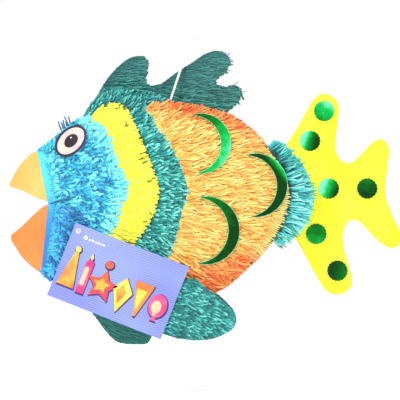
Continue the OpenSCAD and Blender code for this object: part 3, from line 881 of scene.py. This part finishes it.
TAIL = card("tissue_tail", (1.0, 1.0, 0.22), (0.99, 0.96, 0.1), 25.0)
NOSE = nose_material()
FOIL = foil_material()
COTTON = card("cord_cotton", (0.99, 0.99, 0.97), (0.85, 0.85, 0.83), 400.0, 0.8)
EYE_RING = print_colour("eye_ring", (0.1, 0.1, 0.2), (0.16, 0.12, 0.26))
EYE_FIELD = print_colour("eye_field", (0.85, 0.72, 0.74), (0.87, 0.79, 0.74), 90.0)
PUPIL = print_colour("eye_pupil", (0.09, 0.0, 0.02), (0.12, 0.09, 0.13), 60.0)
GLINT = print_colour("eye_glint", (1, 1, 1), (0.9, 0.9, 0.9))
TAG = tag_material()


# ---- looks of the fringe ------------------------------------------------------------------------

SIZES = ("row", "width", "length", "patch", "top", "over", "floor")


def style(base, **changes):
    """Another look with changes, whose sizes are given in millimetres. A pair is a range.

    row and pitch space the strips, scatter and sway turn them, over is how far they may pass their own outline,
    floor is the level they stand on, and patch, own_tone and contrast tone them; the share of strips set to the
    darkest tone is a painted shade, like that in the gaps between strips."""
    return dict(base, **{key: np.multiply(value, MM) if key in SIZES else value
                         for key, value in changes.items()})


# ground is the tone of the sheet under the strips; a low ground is a painted shade in the gaps between them.
BASE_LOOK = style({}, row=7, width=3, pitch=0.85, length=(12, 17), fan=1.0, lean=0.0, scatter=0.2, sway=0.5,
                  rise=(0.15, 0.6), droop=(-0.45, 0.25), curl=0.25, twist=0.6, patch=12, top=(3, 6.4),
                  ridge=0.3, over=3.5, nicks=0.05, floor=49.2, ground=0.3, own_tone=0.5, contrast=1.0)
LOOKS = {
    "face": style(BASE_LOOK, row=4.6, width=5.2, pitch=0.7, length=(8, 13), scatter=0.4, sway=1.2, curl=0.3,
                  rise=(0.03, 0.24), droop=(-0.24, 0.0), twist=0.2, patch=19, ridge=0.07, nicks=0.0,
                  floor=51.4, ground=0.5, top=(1, 2.8), over=5, own_tone=0.3, contrast=1.5),
    "yellow": style(BASE_LOOK, scatter=0.12, sway=0.2, rise=(0.03, 0.14), droop=(-0.14, 0.0), curl=0.12,
                    twist=0.12, ridge=0.1, floor=52.4, ground=1.0, top=(0.7, 1.6), nicks=0.0),
    "teal": style(BASE_LOOK, row=5.6, width=2.8, length=(7, 12), scatter=0.28, rise=(0.2, 0.7),
                  droop=(-0.5, 0.2), nicks=0.12, patch=7, over=4, contrast=1.7),
    "orange": style(BASE_LOOK, width=2.9, length=(13, 21), sway=0.7, nicks=0.02, floor=50.6, ground=0.8,
                    patch=13, top=(1.8, 3.8), curl=0.14, twist=0.3, rise=(0.06, 0.35), droop=(-0.3, 0.1),
                    own_tone=0.45, contrast=1.8),
}
# Short dark strips for the face: a painted shade, like that in the gaps between its strips.
SHADE_STRIPS = style(BASE_LOOK, row=6, width=2, pitch=2.0, length=(4.5, 8.5), scatter=0.55, rise=(0.2, 0.6),
              droop=(-0.4, 0.2), top=(1.6, 3.2), ridge=0.25, nicks=1.0)
TUFTS = style(LOOKS["face"], row=4, width=5.4, length=(8, 12), over=7, rise=(0.12, 0.35), droop=(-0.2, 0.0),
              top=(1.3, 2.2), contrast=0.6)
# Short dark strips along the yellow band's edges: a painted shade where the band meets its neighbours.
EDGE_SHADE_STRIPS = style(SHADE_STRIPS, row=3, pitch=1.2, width=1.5, length=(5, 8), over=7, top=(1.2, 2.2), share=0.045,
                   scatter=0.3)
RIM_LOOK = style(BASE_LOOK, length=(11, 16), rise=(0.2, 0.6), droop=(-0.4, 0.2), top=(3, 6))
RUFF_LOOK = style(BASE_LOOK, length=(13, 20), scatter=0.16, sway=0.3, over=6, width=2.4, nicks=0.14, patch=6,
                  contrast=1.8, own_tone=0.7, twist=0.4, curl=0.15)
RUFF_LOOSE = style(RUFF_LOOK, over=11, width=1.7, share=0.33, nicks=0.3, length=(16, 24), top=(1.5, 3))
FIN_LOOK = style(BASE_LOOK, row=6, width=2.6, length=(10, 17), scatter=0.13, sway=0.3, rise=(0.02, 0.1),
                 droop=(-0.1, 0.03), curl=0.12, twist=0.15, ridge=0.15, fan=0.0, top=(0.4, 0.9), nicks=0.04,
                 patch=9)
FIN_LOOSE = style(FIN_LOOK, width=1.2, length=(9, 13), scatter=1.3, share=0.25, over=6, curl=0.5,
                  top=(0.6, 1.5), nicks=1.0)
PELVIC_LOOK = style(FIN_LOOK, lean=-0.5, top=(0.2, 0.5), nicks=0.0, over=-1)
PECTORAL_LOOK = style(FIN_LOOK, length=(7, 11), row=5, scatter=0.3, lean=-0.35, rise=(0.05, 0.5),
                      droop=(-0.4, 0.1), twist=0.7, ridge=0.35, top=(0.8, 2.2), nicks=0.14, patch=7,
                      contrast=2.4, over=-1)


# ---- fringe of the shell ------------------------------------------------------------------------

PANEL = 48.05 * MM           # just over the board's outer face
NOSE_LINE = [(-183, 55), (-166, -18), (-178, -102)]     # top of the nose, corner of the mouth, chin
NOSE_POINT = flat(-190, -5)       # the shell's fringe fans out from the nose
RUFF_POINT = flat(55, -5)         # and the ruff's from the body
FAR_AHEAD = flat(-400, 0)         # and the fins' from so far ahead that their rows are nearly straight
WINDOW = (flat(14.5, -93.5), flat(81.5, 2))     # the back's opening for the flap's own fringe
OVERHANG = 4.5 * MM
RUFF_EDGE = at_x(108)             # the ruff and the combed edge lie beyond
RIM_GAP = (at_x(-125), at_x(80), 5.5 * MM)      # for the fin and the cord
RUFF_GAP = (0, 1, 5 * MM)         # for the tail, all along

panel_loops = {side: side_outline(f"{word}_panel", side) for side, word in SIDES}
body_loop = panel_loops[FRONT][:1]
yellow_loops = side_outline("yellow_fringe_front", FRONT)
NO_SHADE, HALF_SHADE, FULL_SHADE = even(0.0), even(0.45), even(1.0)


def ramped(distance, reach, most=1):
    """From 0, where the distance is 0 or less, up to the most as it grows to that many reaches."""
    return np.clip(distance / reach, 0, most)


def fading(p, loops, reach):
    """From 1 on the loops down to 0 far from them."""
    return np.exp(-edge_distance(p, loops) / reach)


def face_shade(p):
    """The face is shaded in front, below the mouth."""
    return ramped(at_z(-16) - p[:, 1], 8 * MM) * ramped(at_x(-118) - p[:, 0], 14 * MM)


def teal_shade(p):
    return ramped(p[:, 1] - at_z(84), 20 * MM, 0.8)


def teal_rim_shade(p):
    return ramped(p[:, 1] - at_z(60), 20 * MM)


def orange_shade(p):
    """The orange body is shaded in clumps along its upper and lower edge."""
    high = ramped(abs(p[:, 1] - at_z(-5)) - 45 * MM, 40 * MM)
    low = ramped(at_z(-60) - p[:, 1], 30 * MM) * 18 * MM
    clumps = (ripple(p, 22 * MM, 4) - 0.5) * 0.6
    return np.clip(1.6 - edge_distance(p, body_loop) / (17 * MM + low) + clumps, 0, 1) * high


def fin_shade(p):
    """The dorsal fin is shaded where it leaves the body."""
    return fading(p, body_loop, 12 * MM)


def face_tone(side):
    """Lighter along the face's front and rear edge, darker low down."""
    flange = side_outline("nose_tissue", side)

    def tone(p):
        edges = fading(p, yellow_loops, 13 * MM) + 0.5 * fading(p, flange, 9 * MM)
        return 0.66 * edges - 0.17 - 0.1 * ramped(at_z(-20) - p[:, 1], 20 * MM)
    return tone


def ruff_tone(p):
    """Darker towards the ruff's upper end."""
    return -0.45 * ramped(p[:, 1] - at_z(12), 25 * MM)


def shell_tips(side):
    """A test for where the tips of the shell's strips may be."""
    flange = side_outline("nose_tissue", side)
    panel = [max(panel_loops[side], key=length_of)]

    def allowed(p):
        over = np.where(p[:, 0] > RUFF_EDGE, 0.5 * MM, OVERHANG)
        over[(p[:, 0] < at_x(-118)) & (p[:, 1] > at_z(30))] = 1.5 * MM
        ok = inside(p, panel) | (edge_distance(p, panel) < over)
        ok &= ~inside(p, flange) | (edge_distance(p, flange) < between(1.5, 5.5, len(p)) * MM)
        ok &= p[:, 0] > at_x(-174)
        if side == BACK:
            ok &= ~((p > WINDOW[0]) & (p < WINDOW[1])).all(1)
        return ok
    return allowed


def shade_strip_groups(allowed):
    """Where the face gets short dark strips, a painted shade like that in the gaps between its strips: in loose
    groups, clear of its front and rear edge.
    """
    flange = side_outline("nose_tissue", FRONT)

    def grouped(p):
        smooth = (p[:, 0] < at_x(-150)) & (p[:, 1] < at_z(-20))
        smooth |= (edge_distance(p, yellow_loops) < 13 * MM) | (edge_distance(p, flange) < 8 * MM)
        return allowed(p) & (ripple(p, 20 * MM, 8) > 0.38) & ~smooth & (rng.random(len(p)) < 0.9)
    return grouped


def along_edge(allowed, loops, reach):
    """The allowed places along the loops."""
    return lambda p: allowed(p) & (edge_distance(p, loops) < reach)


def past(loops, near, far):
    """A test for points in the fish's rear half and that far outside the loops."""
    def test(p):
        away = edge_distance(p, loops)
        return ~inside(p, loops) & (away > near) & (away < far) & (p[:, 0] > at_x(60))
    return test


def toward(angle):
    """Headings over the panel, level where the angle is 0 and up where it is a quarter turn."""
    return np.stack([np.cos(angle), np.zeros(len(angle)), np.sin(angle)], 1)


def set_down(spots, y):
    return np.array([place(x, y, z) for x, z in spots])


def combed(strips, side):
    """Long even strips over the panel's lower rear edge, side by side like a comb."""
    at, normal, _ = body_line(2.7 * MM)
    keep = (at[:, 0] > RUFF_EDGE - 8 * MM) & (at[:, 1] < at_z(4))
    at, normal = at[keep], normal[keep]
    n = len(at)
    base = at - normal * between(9, 12, n)[:, None] * MM
    strips.strips(upright(base, 51.8 * MM * side), upright(normal), (0.0, side, 0.0),
                  length=between(12, 15, n) * MM, width=between(1.8, 2.4, n) * MM,
                  rise=between(0.1, 0.3, n), droop=between(-0.3, -0.1, n), curl=rng.normal(0, 0.06, n),
                  twist=rng.normal(0, 0.2, n), tone=between(0.6, 1.0, n), shade=0.0,
                  top=between(1.5, 3.0, n) * MM, ridge=0.2)


def eaves(strips, side):
    """Smooth strips that start on the nose tissue and rise over the edge of the face's fringe."""
    for (x0, z0), (x1, z1), shade in zip(NOSE_LINE, NOSE_LINE[1:], (0.0, 0.8)):
        a, b = place(x0, 0, z0), place(x1, 0, z1)
        run = np.linalg.norm(b - a)
        n = int(run / (1.7 * MM))
        way = np.array([a[2] - b[2], 0, b[0] - a[0]]) / run
        base = a + (b - a) * np.linspace(0.05, 0.99, n)[:, None] + way * between(5, 7, n)[:, None] * MM
        base[:, 1] = 48.1 * MM * side
        angle = math.atan2(way[2], way[0]) + rng.normal(0, 0.12, n)
        strips.strips(base, toward(angle), (0.0, side, 0.0), length=between(10, 15, n) * MM,
                      width=between(3.2, 4.4, n) * MM, rise=between(0.55, 0.7, n),
                      droop=between(-0.1, 0.1, n), curl=rng.normal(0, 0.15, n),
                      twist=rng.normal(0, 0.12, n), tone=between(0.7, 0.95, n), shade=shade,
                      top=between(5, 6.2, n) * MM, ridge=0.06)


def chin(strips, side):
    """Flat strips that close the corner of the chin, behind the lower half of the beak."""
    base = set_down([(-169, -98), (-170, -100.5), (-169, -103), (-166.5, -105), (-164, -107.5),
                     (-161, -110)], 49.1 * side)
    n = len(base)
    angle = np.radians(np.linspace(194, 222, n)) + rng.normal(0, 0.05, n)
    strips.strips(base, toward(angle), (0.0, side, 0.0), length=between(6.8, 8, n) * MM,
                  width=4.4 * MM, rise=0.05, droop=-0.1, curl=0.0, twist=rng.normal(0, 0.1, n),
                  tone=between(0.3, 0.6, n), shade=0.9, top=1 * MM, ridge=0.08)


def crease(strips, side):
    """Dark strips along the fold that runs back from the corner of the mouth: a painted shade in the fold."""
    base = set_down([(-164, -17.5), (-158, -15), (-154, -14.5), (-148, -12.5), (-142, -11)], 53 * side)
    strips.strips(base, (0.97, 0.0, 0.22), (0.0, side, 0.0), length=11 * MM, width=1.9 * MM, rise=0.3,
                  droop=-0.2, curl=0.0, twist=0.0, tone=-0.6, shade=1.0, top=3 * MM, ridge=0.4)


def lashes(strips, side):
    """Loose strips that stand up over the eye."""
    base = set_down([(-150, 75.5), (-145.5, 78), (-141, 81)], 50.5 * side)
    n = len(base)
    strips.strips(base, toward(np.radians(between(80, 120, n))), (0.0, side, 0.0),
                  length=between(11, 15, n) * MM, width=2.0 * MM, rise=between(0.1, 0.4, n),
                  droop=between(-0.3, 0.2, n), curl=rng.normal(0, 0.15, n),
                  twist=rng.normal(0, 0.3, n), tone=between(-0.7, -0.3, n), shade=0.6, top=4 * MM,
                  ridge=0.3)


def panel_fringe(side, word):
    """The four colours of one panel, from the face to the body."""
    allowed = shell_tips(side)
    shades = {"face": face_shade, "teal": teal_shade, "orange": orange_shade}
    for zone, look in LOOKS.items():
        node = f"{zone}_fringe_{word}"
        loops = side_outline(node, side)
        floor = look["floor"]
        colour = "blue" if zone == "face" else zone
        strips = Fringe(f"{zone}_strips_{word}")
        strips.sheet(loops, PANEL * side, floor * side, look["ground"])
        field(strips, loops, side, floor - 0.2 * MM, look, allowed, NOSE_POINT,
              shades.get(zone, NO_SHADE), face_tone(side) if zone == "face" else even(0.0))
        if zone == "face":
            # Groups of short dark strips: painted shade.
            field(strips, loops, side, floor, SHADE_STRIPS, shade_strip_groups(allowed), NOSE_POINT, FULL_SHADE)
            field(strips, loops, side, 52 * MM, TUFTS, along_edge(allowed, yellow_loops, 6 * MM),
                  NOSE_POINT, tone_of=even(0.45))
            eaves(strips, side)
            chin(strips, side)
            # Dark strips in the fold: painted shade.
            crease(strips, side)
            lashes(strips, side)
        if zone == "yellow":
            # Dark strips along the band's edges: painted shade.
            field(strips, loops, side, floor + 0.4 * MM, EDGE_SHADE_STRIPS,
                  along_edge(allowed, loops, 4.5 * MM), NOSE_POINT, FULL_SHADE)
        if zone == "orange":
            combed(strips, side)
        strips.piece(TISSUE[colour], "shell", f"tissue_{colour}", node)


def flap_fringe():
    loops = side_outline("flap_fringe", BACK)
    strips = Fringe("flap_strips")
    strips.sheet(loops, PANEL, 50.2 * MM, 0.8)
    field(strips, loops, BACK, 50.0 * MM, LOOKS["orange"], within(loops), NOSE_POINT, orange_shade)
    strips.piece(TISSUE["orange"], "fill_flap", "tissue_orange", "flap_fringe")


def rim_fringe():
    shades = {"orange": orange_shade, "teal": teal_rim_shade}
    for zone in ("blue", "yellow", "teal", "orange"):
        look = style(RIM_LOOK, top=(1.5, 3)) if zone == "blue" else RIM_LOOK
        rim_strips(f"{zone}_rim_strips", f"rim_fringe_{zone}", TISSUE[zone], f"tissue_{zone}", look,
                   shades.get(zone, NO_SHADE), RIM_GAP)
    rim_strips("ruff_rim_strips", "tail_ruff_rim", TISSUE["ruff"], "tissue_teal",
               style(RIM_LOOK, length=(9, 13)), NO_SHADE, RUFF_GAP, outward=0.7)


def ruff_fringe(side, word):
    """Three layers of the ruff about the tail's root, and its loose ends."""
    node = f"tail_ruff_{word}"
    loops = side_outline(node, side)
    strips = Fringe(f"tail_ruff_strips_{word}")
    strips.sheet(loops, 39.4 * MM * side, 40 * MM * side, 0.4)
    for level in (39.9, 44.1, 48.3):
        field(strips, loops, side, level * MM, RUFF_LOOK, within(loops, 6 * MM), RUFF_POINT,
              tone_of=ruff_tone)
    field(strips, loops, side, 49.5 * MM, RUFF_LOOSE, past(loops, 5 * MM, 10 * MM), RUFF_POINT,
          FULL_SHADE)
    strips.piece(TISSUE["ruff"], "shell", "tissue_teal", node)


# A fin's level in millimetres, tissue, look, shade, how far its tips may pass the outline, and how much
# darker it is near the outline, a painted shade along the edge where the fringe is pressed flat, and over what
# reach.
FINS = {
    "dorsal": (1.55, "fin", FIN_LOOK, fin_shade, 1 * MM, 0.7, 2.5 * MM),
    "pelvic": (1.55, "pelvic", PELVIC_LOOK, NO_SHADE, 0.3 * MM, 0.2, 3 * MM),
    "pectoral": (58.05, "teal", PECTORAL_LOOK, HALF_SHADE, 0.3 * MM, 0.75, 5 * MM),
}


def fin_fringe(fin, side, word):
    level, colour, look, shade, past_edge, depth, reach = FINS[fin]
    node = f"{fin}_fringe_{word}"
    loops = side_outline(node, side)
    strips = Fringe(f"{fin}_strips_{word}")
    strips.sheet(loops, level * MM * side, (level + 0.9) * MM * side, 0.35)
    # The strips darken towards the outline: painted shade along the fin's edge.
    field(strips, loops, side, (level + 0.8) * MM, look, within(loops, past_edge), FAR_AHEAD, shade,
          lambda p: -depth * fading(p, loops, reach))
    if fin == "dorsal":
        field(strips, loops, side, (level + 1) * MM, FIN_LOOSE, past(loops, 1.8 * MM, 5 * MM), FAR_AHEAD)
    strips.piece(TISSUE[colour], "shell", "tissue_teal", node)


# ---- paper, foil and eyes -----------------------------------------------------------------------

def gradient(angle, low, high):
    """A tone that grows across a cut-out from low to high, in the direction of the angle: a painted reflection
    sweeping across the foil.
    """
    c, s = math.cos(math.radians(angle)), math.sin(math.radians(angle))
    return lambda rel: low + (high - low) * min(max(0.5 + 0.5 * (rel[0] * c + rel[1] * s), 0), 1)


# The scales and the foil dots get painted reflections, each sweeping from dark to light across its cut-out.
SCALES = (("front_1", FRONT, gradient(-25, 0.1, 1.0)), ("front_2", FRONT, gradient(38, -4.6, 2.05)),
          ("front_3", FRONT, gradient(160, -0.15, 0.5)), ("back_1", BACK, gradient(-60, 0.4, 0.9)),
          ("back_2", BACK, gradient(60, 0.0, 0.6)))
DOT_REFLECTIONS = [gradient(160, -0.3, 1.3), gradient(-90, 0.25, 0.55), gradient(60, 0.45, 0.9),
             gradient(160, -0.1, 1.3), gradient(-20, -0.1, 0.35), gradient(90, -0.1, 0.35)]
EYE_TILT = math.radians(45)
# An eye's layers, from the dark rim to the highlight: offset from its middle, half its length and width,
# and its two heights.
EYE = (((0, 0), 23.5, 16, 0, 0.5, EYE_RING), ((0, 0), 20.4, 12.9, 0.4, 0.65, EYE_FIELD),
       ((0.4, 0.2), 10, 7, 0.6, 0.8, PUPIL), ((0.2, 4.2), 1.1, 0.8, 0.75, 0.9, GLINT))


def papers_and_foils():
    for word in ("front", "back"):
        crinkled(f"tail_paper_{word}", f"tail_tissue_{word}", TAIL, "tissue_yellow", 14 * MM, 0.5 * MM)
    crinkled("nose_paper", "nose_tissue", NOSE, "tissue_blue", 16 * MM, 0.5 * MM, lift=0.2 * MM)
    for scale, side, tone in SCALES:
        foils(f"scale_foil_{scale}", f"foil_scale_{scale}", side, [tone], rim=0.45 * MM)
    for side, word in SIDES:
        foils(f"tail_foil_{word}", f"tail_dots_{word}", side, DOT_REFLECTIONS)


def eye(side, word):
    middle = flat(-138, 62)
    layers = [(oval(middle + np.array(offset) * MM, long * MM, short * MM, EYE_TILT), low, high, ink)
              for offset, long, short, low, high, ink in EYE]
    layered(f"eye_print_{word}", layers, side, 55 * MM * side, "shell", "eye", f"eye_{word}")


# ---- tag ----------------------------------------------------------------------------------------

def tag_point(u, v):
    """A point of the tag, u along its top edge and v up its side, from its middle."""
    c, s = math.cos(TAG_SLOPE), math.sin(TAG_SLOPE)
    return flat(-78 + u * c - v * s, -115 + u * s + v * c)


def tag_shape(points, at, size, grow=0.0, shift=0.0):
    """A shape on the tag. grow moves its corners outward, shift the whole to the right and down."""
    p = np.array(points, float) * size
    middle = p.mean(0)
    reach = np.linalg.norm(p - middle, axis=1, keepdims=True)
    p = p + (p - middle) / np.maximum(reach, 1e-6) * grow
    return np.array([tag_point(at[0] + u + shift, at[1] + v - shift) for u, v in p])


def wheel(points, short=1.0):
    """A star with that many points, or a round where short, the radius of its notches, is 1."""
    a = np.radians(90.0) + np.linspace(0, 2 * math.pi, points * 2, endpoint=False)
    r = np.where(np.arange(points * 2) % 2, short, 1.0)
    return np.stack([r * np.cos(a), r * np.sin(a)], 1)


HAT = [(-0.5, -1), (0.5, -1), (0.42, -0.6), (0.1, 1), (-0.1, 1), (-0.42, -0.6)]
CANDLE = [(-0.24, -1), (0.24, -1), (0.24, 0.8), (0.12, 1.0), (-0.12, 1.0), (-0.24, 0.8)]
KITE = [(0, -1), (0.56, 0.25), (0, 1), (-0.56, 0.25)]
FLAME = [(0, -1), (0.5, -0.3), (0, 1), (-0.5, -0.3)]
PENNANT = [(-0.55, 1), (0.55, 1), (0.5, 0.72), (0.07, -1), (-0.07, -1), (-0.5, 0.72)]
BALLOON_KNOT = [(-0.1, -0.46), (-0.2, -0.66), (0.2, -0.66), (0.1, -0.46)]
BALLOON_ROUND = wheel(16) * (0.55, 0.72) + (0, 0.28)
BALLOON = np.vstack([BALLOON_ROUND[:16], BALLOON_KNOT, BALLOON_ROUND[17:]])
# Each shape's colour, the colour of its middle, its outline, place and size.
TAG_SHAPES = (
    ("amber", "orange", HAT, (-61, -7), 23), ("pink", "peach", CANDLE, (-41, -10), 22),
    ("red", "amber", wheel(5, 0.5), (-17, -13), 21), ("yellow", "amber", KITE, (10, -15), 23),
    ("orange", "yellow", PENNANT, (34, -12), 22), ("pink", "peach", BALLOON, (58, -17), 21),
    ("yellow", None, FLAME, (-41, 16), 4.5), ("red", None, wheel(16), (-17, 15), 5),
    ("yellow", None, wheel(16), (-61, 19), 3.6))
CONFETTI = ((-58, 36, 2.6), (-52, 35, 1.3), (-48, 35.6, 1.6), (-44, 35, 1.2), (-40.4, 35.4, 1.5),
            (-36.5, 35, 1.2), (-33, 35.4, 1.4))


def print_tag():
    """The tag's card, party shapes with a dark outline to their lower right, and a row of dots."""
    layers = [(max(side_outline("tag_card", FRONT), key=length_of), 0, 0.8, TAG)]
    for colour, middle, points, (u, v), size in TAG_SHAPES:
        layers.append((tag_shape(points, (u, v), size, 1.5, 0.9), 0.75, 0.9, PRINT["ink"]))
        layers.append((tag_shape(points, (u, v), size), 0.85, 1.0, PRINT[colour]))
        if middle:
            small = tag_shape(points, (u - 1.2, v + 0.6), size * 0.55)
            layers.append((small, 0.95, 1.05, PRINT[middle]))
    for u, v, r in CONFETTI:
        layers.append((tag_shape(wheel(8), (u, v), r), 0.75, 0.95, PRINT["white"]))
    layered("tag_print", layers, FRONT, -61.5 * MM, "tag", "tag", "tag_card")


# ---- build --------------------------------------------------------------------------------------

camera_and_stage()
hanging_loop()
for side, word in SIDES:
    panel_fringe(side, word)
flap_fringe()
rim_fringe()
for side, word in SIDES:
    ruff_fringe(side, word)
for fin in FINS:
    for side, word in SIDES:
        fin_fringe(fin, side, word)
papers_and_foils()
for side, word in SIDES:
    eye(side, word)
print_tag()

# Board, card and barb keep the shape they have.
BOARD = kraft("board", (0.8, 0.64, 0.45), (0.68, 0.51, 0.34), 90.0)
PLATE = kraft("hardboard", (0.62, 0.45, 0.3), (0.5, 0.35, 0.22), 10.0)
FIN_CARD = card("fin_card", (0.08, 0.36, 0.38), (0.05, 0.27, 0.3), 30.0)
TAIL_CARD = card("tail_card", (1.0, 0.98, 0.2), (0.98, 0.93, 0.12), 30.0)
UPPER_BEAK = card("upper_beak_card", (0.93, 0.76, 0.4), (0.9, 0.62, 0.28), 18.0, 0.6)
LOWER_BEAK = card("lower_beak_card", (0.91, 0.57, 0.28), (0.9, 0.47, 0.18), 18.0, 0.6)
BARB = Shader("barb", 0.25, Transmission_Weight=0.6).colour(srgb(0.95, 0.96, 0.97)).mat
CARRIED = {
    BOARD: ["front_panel", "back_panel", "nose_wall", "forehead_wall", "dorsal_wall", "tail_wall",
            "belly_wall", "chin_wall", "fill_flap"],
    PLATE: ["hanger_plate"],
    FIN_CARD: ["dorsal_fin", "pelvic_fin", "pectoral_fin_front", "pectoral_fin_back"],
    TAIL_CARD: ["tail_fin"],
    UPPER_BEAK: ["upper_beak"],
    LOWER_BEAK: ["lower_beak"],
    BARB: ["tag_pin"],
}
for material, names in CARRIED.items():
    for name in names:
        nodes[name].material_slots[0].material = material
